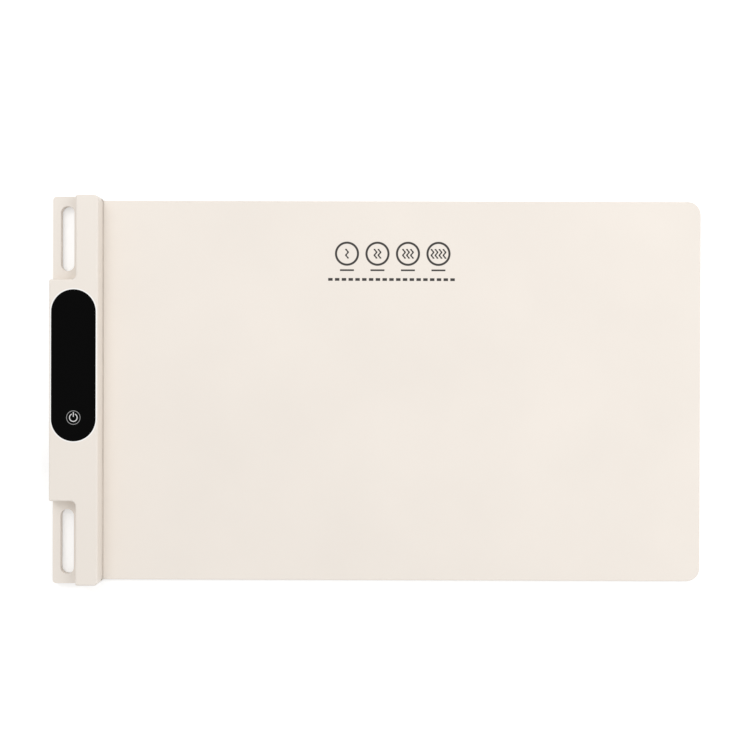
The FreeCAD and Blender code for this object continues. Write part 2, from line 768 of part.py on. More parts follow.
def mains_inlet():
    """A two-pin appliance inlet in the bar's outer wall, standing on the power board."""
    socket = new_node("inlet_socket")
    shroud = new_sketch(socket, "0", "YZ_Plane")
    stadium(shroud, INLET_MIDDLE, INLET_AXIS, SHROUD_HEIGHT, SHROUD_WIDTH, "x")
    pad(socket, shroud, "inlet_depth")
    foot = new_sketch(socket, BOARD_TOP)
    half_foot = "inlet_foot_width / 2"
    rectangle(
        foot, "inlet_foot_start", "inlet_depth",
        f"{INLET_MIDDLE} - {half_foot}", f"{INLET_MIDDLE} + {half_foot}",
    )
    pad(socket, foot, "inlet_rise + inlet_wall / 2")
    cavity = new_sketch(socket, "inlet_depth - inlet_back", "YZ_Plane")
    stadium(cavity, INLET_MIDDLE, INLET_AXIS, "inlet_bore", "(inlet_bore + pin_pitch)", "x")
    pocket(socket, cavity, "inlet_depth")
    holes = new_sketch(socket, "inlet_depth", "YZ_Plane")
    for side in "-+":
        circle(holes, f"{INLET_MIDDLE} {side} pin_pitch / 2", INLET_AXIS, "(pin_diameter / 2 + pin_play)")
    pocket(socket, holes, "inlet_depth")
    pins = new_node("inlet_pins")
    blades = new_sketch(pins, "pin_recess", "YZ_Plane")
    for side in "-+":
        circle(blades, f"{INLET_MIDDLE} {side} pin_pitch / 2", INLET_AXIS, "pin_diameter / 2")
    pad(pins, blades, "inlet_depth + pin_overhang - pin_recess")
    tails = new_sketch(pins, f"{BOARD_UNDER} - tail_drop")
    for side in "-+":
        circle(tails, PIN_TAIL_LINE, f"{INLET_MIDDLE} {side} pin_pitch / 2", "pin_tail / 2")
    pad(pins, tails, f"{INLET_AXIS} - {BOARD_UNDER} + tail_drop")


def tall_parts():
    """Capacitors and the choke, in the part of the box that the display board leaves free."""
    box = new_node("interference_capacitor")
    outline = new_sketch(box, BOARD_TOP)
    along = f"{TALL_END} - x_capacitor_back"
    block_outline(outline, TALL_LINE, along, "x_capacitor_width", "x_capacitor_length")
    pad(box, outline, "x_capacitor_height")
    choke = new_node("choke")
    for level, diameter, height in (
        (BOARD_TOP, "choke_diameter", "choke_flange"),
        (f"{BOARD_TOP} + choke_flange", "choke_waist", "choke_height - 2 * choke_flange"),
        (f"{BOARD_TOP} + choke_height - choke_flange", "choke_diameter", "choke_flange"),
    ):
        ring = new_sketch(choke, level)
        circle(ring, TALL_LINE, f"{TALL_END} - choke_back", f"{diameter} / 2")
        pad(choke, ring, height)
    can = new_node("smoothing_capacitor")
    outline = new_sketch(can, BOARD_TOP)
    circle(outline, TALL_LINE, f"{TALL_END} - can_back", "can_diameter / 2")
    pad(can, outline, "can_height")
    vent = new_sketch(can, f"{BOARD_TOP} + can_height")
    block_outline(vent, TALL_LINE, f"{TALL_END} - can_back", "can_vent", "can_diameter / 2")
    pocket(can, vent, "can_vent")


def fuse():
    """A glass tube fuse with metal caps in two spring clips."""
    axis = f"({BOARD_TOP} + fuse_rise)"
    across = f"({BOARD_LEFT} + fuse_inset)"
    along = f"({BOARD_START} + fuse_place)"
    radius = "(fuse_diameter - clip_wall) / 2"
    tube = new_node("glass_fuse")
    outline = new_sketch(tube, f"-({along} + fuse_length / 2)", "XZ_Plane")
    circle(outline, across, axis, radius)
    pad(tube, outline, "fuse_length")
    caps = new_node("fuse_clips")
    for side in "-+":
        middle = f"{along} {side} (fuse_length - fuse_cap) / 2"
        foot = new_sketch(caps, f"-({middle} + clip_width / 2)", "XZ_Plane")
        outer = "(fuse_diameter / 2 + clip_wall)"
        polygon(foot, [
            (f"{across} - {outer}", BOARD_TOP), (f"{across} + {outer}", BOARD_TOP),
            (f"{across} + {outer}", axis), (f"{across} - {outer}", axis),
        ])
        pad(caps, foot, "clip_width")
    bed = new_sketch(caps, f"-({along} - fuse_length / 2)", "XZ_Plane")
    circle(bed, across, axis, radius)
    pocket(caps, bed, "fuse_length")


def switching_parts():
    """The triac on its heat spreader, and the buzzer."""
    across = f"({BOARD_RIGHT} - spreader_inset)"
    along = f"({BOARD_START} + spreader_place)"
    spreader = new_node("heat_spreader")
    outline = new_sketch(spreader, BOARD_TOP)
    block_outline(outline, across, along, "spreader_width", "spreader_length")
    pad(spreader, outline, "spreader_thickness")
    triac = new_node("triac")
    base = f"{BOARD_TOP} + spreader_thickness"
    low = f"({along} - (triac_length + triac_tab) / 2)"
    left = f"({across} - triac_width / 2)"
    right = f"({across} + triac_width / 2)"
    case = new_sketch(triac, base)
    rectangle(case, left, right, low, f"{low} + triac_length")
    pad(triac, case, "triac_height")
    tab = new_sketch(triac, base)
    rectangle(tab, left, right, f"{low} + triac_length", f"{low} + triac_length + triac_tab")
    circle(tab, across, f"{low} + triac_length + triac_tab / 2", "triac_hole / 2")
    pad(triac, tab, "triac_tab_thickness")
    across = f"({BOARD_LEFT} + buzzer_inset)"
    along = f"({BOARD_START} + buzzer_place)"
    buzzer = new_node("buzzer")
    outline = new_sketch(buzzer, BOARD_TOP)
    circle(outline, across, along, "buzzer_diameter / 2")
    pad(buzzer, outline, "buzzer_height")
    hole = new_sketch(buzzer, f"{BOARD_TOP} + buzzer_height")
    circle(hole, across, along, "buzzer_hole / 2")
    pocket(buzzer, hole, "buzzer_hole_depth")


def lead_place(side):
    """Where one of the two heater leads runs across the bar."""
    return f"({BOARD_RIGHT} - block_inset {side} lead_pitch / 2)"


def heater_wiring():
    """Terminal block and the two leads that feed the film's tail."""
    level = f"({BOARD_TOP} + lead_rise)"
    middle = f"({BOARD_END} - block_back)"
    mouth = f"({middle} + block_length / 2)"
    block = new_node("terminal_block")
    outline = new_sketch(block, BOARD_TOP)
    block_outline(outline, f"{BOARD_RIGHT} - block_inset", middle, "block_width", "block_length")
    pad(block, outline, "block_height")
    holes = new_sketch(block, f"-({mouth} - block_hole_depth)", "XZ_Plane")
    for side in "-+":
        circle(holes, lead_place(side), level, "block_hole / 2")
    pocket(block, holes, "block_hole_depth")
    leads = new_node("heater_leads")
    low = f"({FILM_TOP} + lead_diameter / 2)"
    bend = f"{BOARD_END} + lead_bend"
    for side in "-+":
        wire(leads, lead_place(side), [
            (f"{TAIL_MIDDLE} - lead_overlap", low), (bend, low), (bend, level),
            (f"{mouth} - block_hole_depth + lead_play", level),
        ], "lead_diameter")


def heat_sensing():
    """Thermistor with its two leads, and the thermal cutoff, both lying on the film's tail."""
    bead_level = f"({FILM_TOP} + bead_diameter / 2)"
    across = f"({TAIL_START} + bead_inset)"
    along = f"({TAIL_MIDDLE} - bead_offset)"
    bend = f"{BOARD_END} + sensor_bend"
    landing = f"{BOARD_END} - sensor_end"
    bead = new_node("thermistor")
    outline = new_sketch(bead, f"-({along} + bead_length / 2)", "XZ_Plane")
    circle(outline, across, bead_level, "bead_diameter / 2")
    pad(bead, outline, "bead_length")
    above = f"({BOARD_TOP} + sensor_rise)"
    for side in "-+":
        wire(bead, f"({across} {side} sensor_pitch / 2)", [
            (f"{along} - bead_length / 2", bead_level), (bend, bead_level),
            (bend, above), (landing, above), (landing, BOARD_TOP),
        ], "sensor_lead")
    level = f"({FILM_TOP} + cutoff_diameter / 2)"
    across = f"({TAIL_START} + cutoff_inset)"
    along = f"({TAIL_MIDDLE} + cutoff_offset)"
    cutoff = new_node("thermal_cutoff")
    reach = "(cutoff_length / 2 + cutoff_lead_length)"
    pin = new_sketch(cutoff, f"-({along} + {reach})", "XZ_Plane")
    circle(pin, across, level, "cutoff_lead / 2")
    pad(cutoff, pin, f"2 * {reach}")
    can = new_sketch(cutoff, f"-({along} + cutoff_length / 2)", "XZ_Plane")
    circle(can, across, level, "cutoff_diameter / 2")
    pad(cutoff, can, "cutoff_length")


def ribbon():
    """The flat cable between the two boards."""
    body = new_node("ribbon_cable")
    outline = new_sketch(body, BOARD_TOP)
    across = f"{BOARD_LEFT} + ribbon_inset"
    along = f"{BOARD_START} + ribbon_place"
    block_outline(outline, across, along, "ribbon_thickness", "ribbon_width")
    pad(body, outline, f"{DISPLAY_UNDER} - {BOARD_TOP}")


def clamp_strip():
    """The strip that presses the mat's tongue onto the floor."""
    body = new_node("clamp_strip")
    outline = new_sketch(body, MAT_TOP)
    block_outline(outline, STRIP_LINE, "0", "strip_width", f"({MAT_WIDTH} - 2 * strip_margin)")
    circles(outline, strip_screw_places(), "(screw_diameter + screw_play) / 2")
    pad(body, outline, "strip_thickness")


def cover_screws():
    """Self-tapping screws from below that close the bar and squeeze the strip."""
    body = new_node("cover_screws")
    places = strip_screw_places() + corner_screw_places()
    heads = new_sketch(body, "cover_lift + head_recess")
    circles(heads, places, "head_diameter / 2")
    pad(body, heads, "head_height")
    shanks = new_sketch(body, SCREW_SEAT)
    circles(shanks, places, "screw_diameter / 2")
    pad(body, shanks, "screw_length")
    crosses = new_sketch(body, "cover_lift + head_recess + cross_depth")
    for x, y in places:
        plus_outline(crosses, x, y)
    pocket(body, crosses, "cross_depth")


def board_screws():
    """Small screws of the two boards: down into the floor, and up into the roof."""
    body = new_node("board_screws")
    for places, head_level, shank_level, length in (
        (board_screw_places(), BOARD_TOP, f"{BOARD_TOP} - board_screw_length", "board_screw_length"),
        (
            display_screw_places(), f"{DISPLAY_UNDER} - small_head_height", DISPLAY_UNDER,
            "display_screw_length",
        ),
    ):
        heads = new_sketch(body, head_level)
        circles(heads, places, "small_head / 2")
        pad(body, heads, "small_head_height")
        shanks = new_sketch(body, shank_level)
        circles(shanks, places, "small_screw / 2")
        pad(body, shanks, length)


def foot_pads():
    """Soft pads in shallow seats under the bar, standing on the table."""
    body = new_node("foot_pads")
    outline = new_sketch(body, "0")
    circles(outline, foot_places(), "foot_diameter / 2")
    pad(body, outline, "cover_lift + foot_seat")


def check_and_export():
    """Stop if anything failed, then write one file for each piece."""
    doc.recompute()
    for thing in doc.Objects:
        if {"Invalid", "Error"} & set(thing.State):
            raise RuntimeError(f"{thing.Name} failed: {thing.State}")
    for body in nodes:
        if body.Shape.isNull() or not body.Shape.isValid() or not body.Shape.Solids:
            raise RuntimeError(f"{body.Label} is not a sound solid")
    os.makedirs("parts", exist_ok=True)
    for body in nodes:
        body.Shape.exportStep(f"parts/{body.Label}.step")


bottom_cover()
top_cover()
panel_lens()
display_board()
power_board()
mains_inlet()
tall_parts()
fuse()
switching_parts()
heater_wiring()
heat_sensing()
ribbon()
mat_tongue()
clamp_strip()
cover_screws()
board_screws()
foot_pads()
for mat_index in range(SECTIONS):
    mat_section(mat_index)
check_and_export()
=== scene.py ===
import json
import math

import bpy
import numpy as np
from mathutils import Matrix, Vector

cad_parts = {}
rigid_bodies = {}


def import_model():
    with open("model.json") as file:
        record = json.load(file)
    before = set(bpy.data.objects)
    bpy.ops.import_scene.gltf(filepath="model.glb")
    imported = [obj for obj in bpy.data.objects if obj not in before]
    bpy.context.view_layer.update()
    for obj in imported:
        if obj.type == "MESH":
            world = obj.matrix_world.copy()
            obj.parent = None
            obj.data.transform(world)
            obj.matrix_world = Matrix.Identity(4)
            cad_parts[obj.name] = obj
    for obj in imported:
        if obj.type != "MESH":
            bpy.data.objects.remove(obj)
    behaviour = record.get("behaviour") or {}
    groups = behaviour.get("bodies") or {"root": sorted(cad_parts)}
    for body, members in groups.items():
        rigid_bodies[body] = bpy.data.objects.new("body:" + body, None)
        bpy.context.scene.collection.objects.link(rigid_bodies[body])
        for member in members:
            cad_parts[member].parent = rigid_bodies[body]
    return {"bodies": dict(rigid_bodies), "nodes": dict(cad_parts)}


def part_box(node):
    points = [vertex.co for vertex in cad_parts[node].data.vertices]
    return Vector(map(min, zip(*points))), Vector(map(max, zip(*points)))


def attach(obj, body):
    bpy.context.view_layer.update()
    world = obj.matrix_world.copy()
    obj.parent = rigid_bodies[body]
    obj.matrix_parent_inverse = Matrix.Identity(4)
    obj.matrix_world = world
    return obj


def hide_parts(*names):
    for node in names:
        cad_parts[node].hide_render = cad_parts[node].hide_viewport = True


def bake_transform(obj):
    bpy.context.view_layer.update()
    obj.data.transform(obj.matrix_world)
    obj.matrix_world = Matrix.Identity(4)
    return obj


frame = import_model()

bl_info = {
    "name": "Roll-up food warmer",
    "version": (1, 0, 0),
    "blender": (4, 5, 0),
    "location": "View3D > Sidebar > Warmer",
    "description": "Dresses a heated silicone serving mat with a control bar",
    "category": "Object",
}

BAR = "control_bar"
SECTIONS = sum(name.startswith("mat_section_") for name in frame["bodies"])
MM = 0.001
WHITE = (1.0, 1.0, 1.0, 1.0)
QUARTER = math.pi / 2.0

# Number of the axis that the bar runs along.
ALONG_BAR = 1

# Level of the mat's serving side over the table.
MAT_TOP = 4.2 * MM

# Pebbles of the silicone's grain in a metre.
PEBBLES = 1500.0

# Softness of a pattern's boundary: in ink, in a printed sign or track, and at a change of level.
INK_SOFT = 0.3 * MM
SIGN_SOFT = 0.2 * MM
LEVEL_SOFT = 0.1 * MM

# Columns of points inside the mat's edge, by their distance from its long sides.
INNER_COLUMNS = np.array([1.6, 4.0, 9.0, 30.0, 80.0, 130.0]) * MM

# The least width over which points crowd at an edge that has no rounding.
LEAST_EDGE = 0.3 * MM

# Width of the nearly upright wall on the inner side of a rim.
LIP_WALL = 0.01 * MM

# The mat's layers: the node's stem, the piece's stem, the material slot.
TOP_SKIN = ("mat_top_skin", "serving_skin", "silicone")
HEATER = ("heater_film", "heater_layer", "heater")
UNDER_SKIN = ("mat_bottom_skin", "under_skin", "silicone_under")


def rgb(red, green, blue):
    """Screen values from 0 to 255 as linear light: the usual two-part display curve undone."""
    screen = np.array([red, green, blue]) / 255.0
    low = screen / 12.92
    high = ((screen + 0.055) / 1.055) ** 2.4
    return tuple(np.where(screen <= 0.04045, low, high))


def length(name, text, value):
    """A length property in metres."""
    return bpy.props.FloatProperty(
        name=name, description=text, default=value, unit="LENGTH", precision=5
    )


def angle(name, text, degrees):
    """An angle property, given in degrees."""
    return bpy.props.FloatProperty(
        name=name, description=text, default=math.radians(degrees), subtype="ANGLE"
    )


def colour(name, text, value):
    """A colour property in linear light."""
    return bpy.props.FloatVectorProperty(
        name=name, description=text, default=value, subtype="COLOR", size=3, min=0.0, max=1.0
    )


def share(name, text, value):
    """A plain number between nought and one."""
    return bpy.props.FloatProperty(name=name, description=text, default=value, min=0.0, max=1.0)


class WARMER_PG_mat(bpy.types.PropertyGroup):
    """Sizes, colours and sheen of the mat's three layers"""

    corner: length("Corner radius", "Radius of the mat's two free corners", 12.0 * MM)
    edge: length("Edge rounding", "Radius of the soft edge round the mat", 0.9 * MM)
    dot_pitch: length("Dot pitch", "From one gripping dot to the next", 4.6 * MM)
    dot_radius: length("Dot radius", "Radius of a gripping dot", 1.15 * MM)
    dot_reach: length("Dots' reach", "From the mat's middle line to the last dots", 170.0 * MM)
    track_pitch: length("Track pitch", "From one heating track to the next", 5.0 * MM)
    track_width: length("Track width", "Width of a heating track", 2.2 * MM)
    track_sway: length("Track sway", "Sideways swing of a heating track", 0.5 * MM)
    track_wave: length("Track wave", "Length of one swing of a heating track", 22.0 * MM)
    stations: bpy.props.IntProperty(
        name="Stations", description="Rows of points along one fold", default=26, min=8, max=80
    )
    silicone: colour("Silicone", "Top of the mat", rgb(240, 232, 223))
    under: colour("Underside", "Gripping side of the mat", rgb(229, 220, 209))
    foil: colour("Heater film", "Film between the skins", rgb(196, 132, 48))
    ink: colour("Ink", "Printed heat marks", rgb(20, 17, 16))
    roughness: share("Roughness", "Roughness of the silicone", 0.62)


class WARMER_PG_print(bpy.types.PropertyGroup):
    """Places and sizes of the printed heat marks, short bars and dashed rule"""

    first_x: length("First mark", "Middle of the first heat mark along the mat", -28.0 * MM)
    middle_y: length("Marks' line", "Middle of the heat marks across the mat", 127.3 * MM)
    pitch: length("Pitch", "From one heat mark to the next", 28.3 * MM)
    ring: length("Ring radius", "Radius of a heat mark's ring", 10.2 * MM)
    stroke: length("Stroke", "Width of the printed lines", 2.0 * MM)
    wave_pitch: length("Wave pitch", "From one wavy stroke to the next", 3.7 * MM)
    wave_height: length("Wave height", "Height of a wavy stroke", 9.0 * MM)
    wave_length: length("Wave length", "Length of one wave in a wavy stroke", 5.58 * MM)
    wave_sway: length("Wave sway", "Sideways swing of a wavy stroke", 0.95 * MM)
    wave_stroke: length("Wave stroke", "Width of a wavy stroke's line", 1.72 * MM)
    short_bar_y: length("Short bars", "Line of the short bars under the marks", 112.0 * MM)
    short_bar: length("Short bar", "Length of a short bar", 13.0 * MM)
    short_bar_stroke: length("Short bar's stroke", "Thickness of a short bar", 1.6 * MM)
    rule_y: length("Rule", "Line of the dashed rule", 103.4 * MM)
    rule_stroke: length("Rule's stroke", "Thickness of the dashed rule", 2.6 * MM)
    dash_pitch: length("Dash pitch", "From one dash to the next", 6.3 * MM)
    dash: length("Dash", "Length of a dash", 4.2 * MM)
    rule_start: length("Rule's start", "Left end of the dashed rule", -46.5 * MM)
    rule_end: length("Rule's end", "Right end of the dashed rule", 73.2 * MM)


class WARMER_PG_bar(bpy.types.PropertyGroup):
    """Sizes and colours of the control bar, its lens and its power key"""

    plastic: colour("Plastic", "Moulded shell of the bar", rgb(237, 229, 220))
    # The lens rim is a painted highlight: a near-white band where the edge of the lens's opening
    # catches the light.
    rim: colour("Lens rim", "Bright rim round the lens, a painted highlight", rgb(253, 252, 250))
    rim_width: length("Rim width", "Width of the bright rim", 1.15 * MM)
    lens: colour("Lens", "Smoked panel over the display", rgb(2, 2, 2))
    lens_edge: length("Lens edge", "Radius of the lens's top edge", 0.45 * MM)
    key_x: length("Key along", "Middle of the power key along the mat", -277.4 * MM)
    key_y: length("Key across", "Middle of the power key across the mat", -24.9 * MM)
    key_ring: length("Key ring", "Radius of the thin ring round the key", 6.2 * MM)
    key_ring_stroke: length("Key ring's stroke", "Width of the thin ring", 0.42 * MM)
    key_arc: length("Key arc", "Radius of the power sign's arc", 3.5 * MM)
    key_stroke: length("Key stroke", "Width of the power sign's lines", 0.8 * MM)
    key_gap: length("Key gap", "Width of the opening in the power sign's arc", 2.9 * MM)
    key_upright: length("Key upright", "Length of the power sign's upright stroke", 4.4 * MM)
    key_upright_y: length("Upright's middle", "From the key's middle to the upright's", 2.9 * MM)
    roughness: share("Roughness", "Roughness of the plastic", 0.46)


class WARMER_PG_stage(bpy.types.PropertyGroup):
    """Camera, lamps, sky and floor"""

    camera_x: length("Camera along", "Camera's place along the mat", 1.87 * MM)
    camera_y: length("Camera across", "Camera's place across the mat", 18.87 * MM)
    camera_z: length("Camera height", "Camera's height over the table", 1101.8 * MM)
    pitch: angle("Pitch", "Camera's tilt about X", -0.215)
    yaw: angle("Yaw", "Camera's tilt about Y", 0.187)
    turn: angle("Turn", "Camera's turn in its frame", 0.159)
    lens: bpy.props.FloatProperty(
        name="Lens",
        description="Focal length in millimetres",
        default=56.74,
        subtype="DISTANCE_CAMERA",
    )
    key_place: bpy.props.FloatVectorProperty(
        name="Key lamp's place",
        description="Place of the main lamp",
        default=(-0.7, 0.9, 1.4),
        subtype="TRANSLATION",
    )
    key_size: length("Key lamp's side", "Side of the main lamp", 0.8)
    key_power: bpy.props.FloatProperty(
        name="Key lamp", description="Power of the main lamp", default=6.0, unit="POWER"
    )
    fill_place: bpy.props.FloatVectorProperty(
        name="Fill lamp's place",
        description="Place of the lamp opposite",
        default=(1.1, 0.2, 1.3),
        subtype="TRANSLATION",
    )
    fill_size: length("Fill lamp's side", "Side of the lamp opposite", 1.2)
    fill_power: bpy.props.FloatProperty(
        name="Fill lamp", description="Power of the lamp opposite", default=8.0, unit="POWER"
    )
    sky: share("Sky", "Level of the even light all round", 0.7)
    floor_reach: length("Floor's reach", "From the middle to the sides of the floor", 3.0)
    floor_drop: length("Floor's drop", "Gap between the bar's feet and the floor", 0.4 * MM)
    floor_glow: share("Floor glow", "Brightness added to the floor where it is seen", 0.32)


class Value:
    """A number socket of a finish. An expression on values adds the Math nodes that work it out."""

    def __init__(self, make, socket):
        self.make = make
        self.socket = socket

    def math(self, operation, *others, clamp=False):
        """A Math node with this value as its first input."""
        return self.make.math(operation, self, *others, clamp=clamp)

    def __add__(self, other):
        return self.math("ADD", other)

    def __radd__(self, other):
        return self.math("ADD", other)

    def __sub__(self, other):
        return self.math("SUBTRACT", other)

    def __rsub__(self, other):
        return self.make.math("SUBTRACT", other, self)

    def __mul__(self, other):
        return self.math("MULTIPLY", other)

    def __rmul__(self, other):
        return self.math("MULTIPLY", other)

    def __truediv__(self, other):
        return self.math("DIVIDE", other)

    def __abs__(self):
        return self.math("ABSOLUTE")

    def high(self, other):
        return self.math("MAXIMUM", other)

    def modulo(self, other):
        return self.math("FLOORED_MODULO", other)

    def sine(self):
        return self.math("SINE")

    def root(self):
        return self.high(0.0).math("SQRT")

    def over(self, edge, soft):
        """Nought under the edge, one over it, and a straight ramp of the given width between."""
        return ((self - edge) / soft + 0.5).math("ADD", 0.0, clamp=True)

    def under(self, edge, soft):
        return 1.0 - self.over(edge, soft)


class Finish:
    """A material, or the world, and the few calls that build its nodes."""

    def __init__(self, name, world=False):
        self.owner = (bpy.data.worlds if world else bpy.data.materials).new(name)
        self.owner.use_nodes = True
        self.nodes = self.owner.node_tree.nodes
        self.links = self.owner.node_tree.links
        self.nodes.clear()
        self.out = self.node("ShaderNodeOutputWorld" if world else "ShaderNodeOutputMaterial")

    def node(self, kind, settings=None, **inputs):
        """One node: its settings first, then the values or links of its sockets, by name, or by
        number as in i0 for the first."""
        made = self.nodes.new(kind)
        for key, setting in (settings or {}).items():
            setattr(made, key, setting)
        for key, given in inputs.items():
            index = int(key[1:]) if key[1:].isdigit() else key.replace("_", " ")
            self.set(made.inputs[index], given)
        return made

    def set(self, socket, given):
        """Links a value or a socket, or sets a plain number or colour."""
        if isinstance(given, Value):
            self.links.new(given.socket, socket)
        elif isinstance(given, bpy.types.NodeSocket):
            self.links.new(given, socket)
        else:
            socket.default_value = given

    def math(self, operation, first, *others, clamp=False):
        made = self.node("ShaderNodeMath", {"operation": operation, "use_clamp": clamp})
        for place, given in enumerate((first, *others)):
            self.set(made.inputs[place], given)
        return Value(self, made.outputs[0])

    def place(self, attribute=None):
        """The object's own place of a point, or its place on the flat mat kept as an attribute."""
        if attribute:
            return self.node("ShaderNodeAttribute", {"attribute_name": attribute}).outputs["Vector"]
        return self.node("ShaderNodeTexCoord").outputs["Object"]

    def parts(self, vector):
        made = self.node("ShaderNodeSeparateXYZ", i0=vector)
        return [Value(self, socket) for socket in made.outputs]

    def stretched(self, vector, scale):
        return self.node(
            "ShaderNodeVectorMath", {"operation": "MULTIPLY"}, i0=vector, i1=scale
        ).outputs[0]

    def noise(self, vector, scale, detail=2.0, roughness=0.5):
        made = self.node(
            "ShaderNodeTexNoise", Vector=vector, Scale=scale, Detail=detail, Roughness=roughness
        )
        return Value(self, made.outputs["Fac"])

    def cells(self, vector, scale):
        made = self.node("ShaderNodeTexVoronoi", Vector=vector, Scale=scale)
        return Value(self, made.outputs["Distance"])

    def mix(self, amount, first, second):
        """The second colour over the first by the amount."""
        made = self.node("ShaderNodeMix", {"data_type": "RGBA"}, i0=amount, i6=first, i7=second)
        return made.outputs[2]

    def bump(self, height, strength, distance):
        return self.node(
            "ShaderNodeBump", Height=height, Strength=strength, Distance=distance
        ).outputs[0]

    def seen(self):
        """One for rays from the camera, off gloss and through glass, which show the background."""
        path = self.node("ShaderNodeLightPath")
        shown = Value(self, path.outputs["Is Camera Ray"])
        for ray in ("Is Glossy Ray", "Is Transmission Ray"):
            shown = shown.high(Value(self, path.outputs[ray]))
        return shown

    def finished(self, shader):
        """Joins the last shader to the output."""
        self.links.new(shader.outputs[0], self.out.inputs[0])
        return self.owner

    def principled(self, **inputs):
        return self.finished(self.node("ShaderNodeBsdfPrincipled", **inputs))


def tint(shade, factor):
    """A colour made lighter or darker, four numbers for a socket."""
    return tuple(min(1.0, part * factor) for part in tuple(shade)[:3]) + (1.0,)


def stroke_mask(distance, width, soft=0.28 * MM):
    """One on a line of the given width, from the distance to its middle."""
    return abs(distance).under(width / 2.0, soft)


def repeated(place, pitch):
    """Distance along a repeating pattern from the middle of the copy that a point lies in."""
    return place.modulo(pitch) - pitch / 2.0


def from_middle(x, y):
    """Distance of a point from the middle, by Pythagoras."""
    return (x * x + y * y).root()


def swing(along, wave, sway):
    """Sideways swing of a wavy line: a sine of the given wave length and half width."""
    return (along * (2.0 * math.pi / wave)).sine() * sway


def heat_print(make, place, style):
    """Ink of the printed marks. Along the row the place is counted in pitches, so one ring
    formula serves all four marks, and mark n holds n wavy strokes of equal pitch. Short bars
    and a dashed rule stand under them."""
    x, y, z = make.parts(place)
    along = (x - (style.first_x - style.pitch / 2.0)) / style.pitch
    count = along.math("FLOOR")
    local_x = (along - count - 0.5) * style.pitch
    local_y = y - style.middle_y
    in_row = count.over(-0.5, 0.01) * count.under(3.5, 0.01)
    ring = stroke_mask(from_middle(local_x, local_y) - style.ring, style.stroke)

    half = (count + 1.0) * (style.wave_pitch / 2.0)
    shifted = local_x - swing(local_y, style.wave_length, style.wave_sway)
    waves = stroke_mask(repeated(shifted + half, style.wave_pitch), style.wave_stroke)
    waves = waves * abs(shifted).under(half, LEVEL_SOFT) * stroke_mask(local_y, style.wave_height)
    bars = stroke_mask(y - style.short_bar_y, style.short_bar_stroke)
    bars = bars * stroke_mask(local_x, style.short_bar, INK_SOFT)
    marks = ring.high(waves).high(bars) * in_row

    dash = repeated(x - style.rule_start, style.dash_pitch)
    rule = stroke_mask(y - style.rule_y, style.rule_stroke)
    rule = rule * stroke_mask(dash, style.dash, INK_SOFT)
    middle = (style.rule_start + style.rule_end) / 2.0
    rule = rule * stroke_mask(x - middle, style.rule_end - style.rule_start, INK_SOFT)
    return marks.high(rule) * z.over(MAT_TOP - 0.2 * MM, LEVEL_SOFT)


def silicone_finish(name, sizes, style):
    """Matt moulded silicone: a fine pebbled grain, slow cloudiness in colour and sheen, and the
    printed marks on the serving side."""
    make = Finish(name)
    place = make.place("rest_place")
    shade = sizes.silicone
    ink = heat_print(make, place, style)
    cloud = make.noise(place, 9.0, 3.0)
    speck = make.noise(place, 900.0, 2.0)
    grain = make.cells(place, PEBBLES)
    base = make.mix(cloud.over(0.5, 0.5), tint(shade, 0.975), tint(shade, 1.02))
    base = make.mix(speck * 0.10, base, tint(shade, 0.86))
    base = make.mix(ink * 0.97, base, tint(sizes.ink, 1.0))
    rough = sizes.roughness - 0.06 + cloud * 0.08 + speck * 0.06 - ink * 0.14
    height = grain * 0.7 + make.noise(place, 420.0, 2.0) * 0.5 + ink * 0.25
    return make.principled(
        Base_Color=base,
        Roughness=rough,
        Specular_IOR_Level=0.36,
        Sheen_Weight=0.06,
        Sheen_Roughness=0.5,
        Normal=make.bump(height, 0.22, 0.12 * MM),
    )


def under_finish(name, sizes):
    """Gripping side: the same silicone with rows of small raised dots under the mat."""
    make = Finish(name)
    place = make.place("rest_place")
    shade = sizes.under
    x, y, z = make.parts(place)
    from_dot = from_middle(repeated(x, sizes.dot_pitch), repeated(y, sizes.dot_pitch))
    dots = from_dot.under(sizes.dot_radius, 0.5 * MM)
    dots = dots * z.under(0.3 * MM, LEVEL_SOFT) * abs(y).under(sizes.dot_reach, 1.0 * MM)
    cloud = make.noise(place, 12.0, 3.0)
    grain = make.cells(place, PEBBLES)
    base = make.mix(cloud.over(0.5, 0.5), tint(shade, 0.97), tint(shade, 1.02))
    base = make.mix(dots * 0.5, base, tint(shade, 1.05))
    return make.principled(
        Base_Color=base,
        Roughness=sizes.roughness + 0.04 - dots * 0.1 + cloud * 0.05,
        Specular_IOR_Level=0.36,
        Normal=make.bump(dots * 4.0 + grain * 0.6, 0.5, 0.15 * MM),
    )


def heater_finish(name, sizes):
    """Amber film with a dark heating track that runs to and fro across the mat."""
    make = Finish(name)
    place = make.place("rest_place")
    x, y = make.parts(place)[:2]
    swayed = x + swing(y, sizes.track_wave, sizes.track_sway)
    track = stroke_mask(repeated(swayed, sizes.track_pitch), sizes.track_width)
    cloud = make.noise(place, 60.0, 3.0)
    carbon = (0.05, 0.045, 0.04, 1.0)
    base = make.mix(track, tint(sizes.foil, 1.0), carbon)
    base = make.mix(cloud * 0.2, base, tint(sizes.foil, 0.6))
    return make.principled(
        Base_Color=base,
        Roughness=0.32 + track * 0.2 + cloud * 0.05,
        Normal=make.bump(track, 0.3, 0.05 * MM),
    )


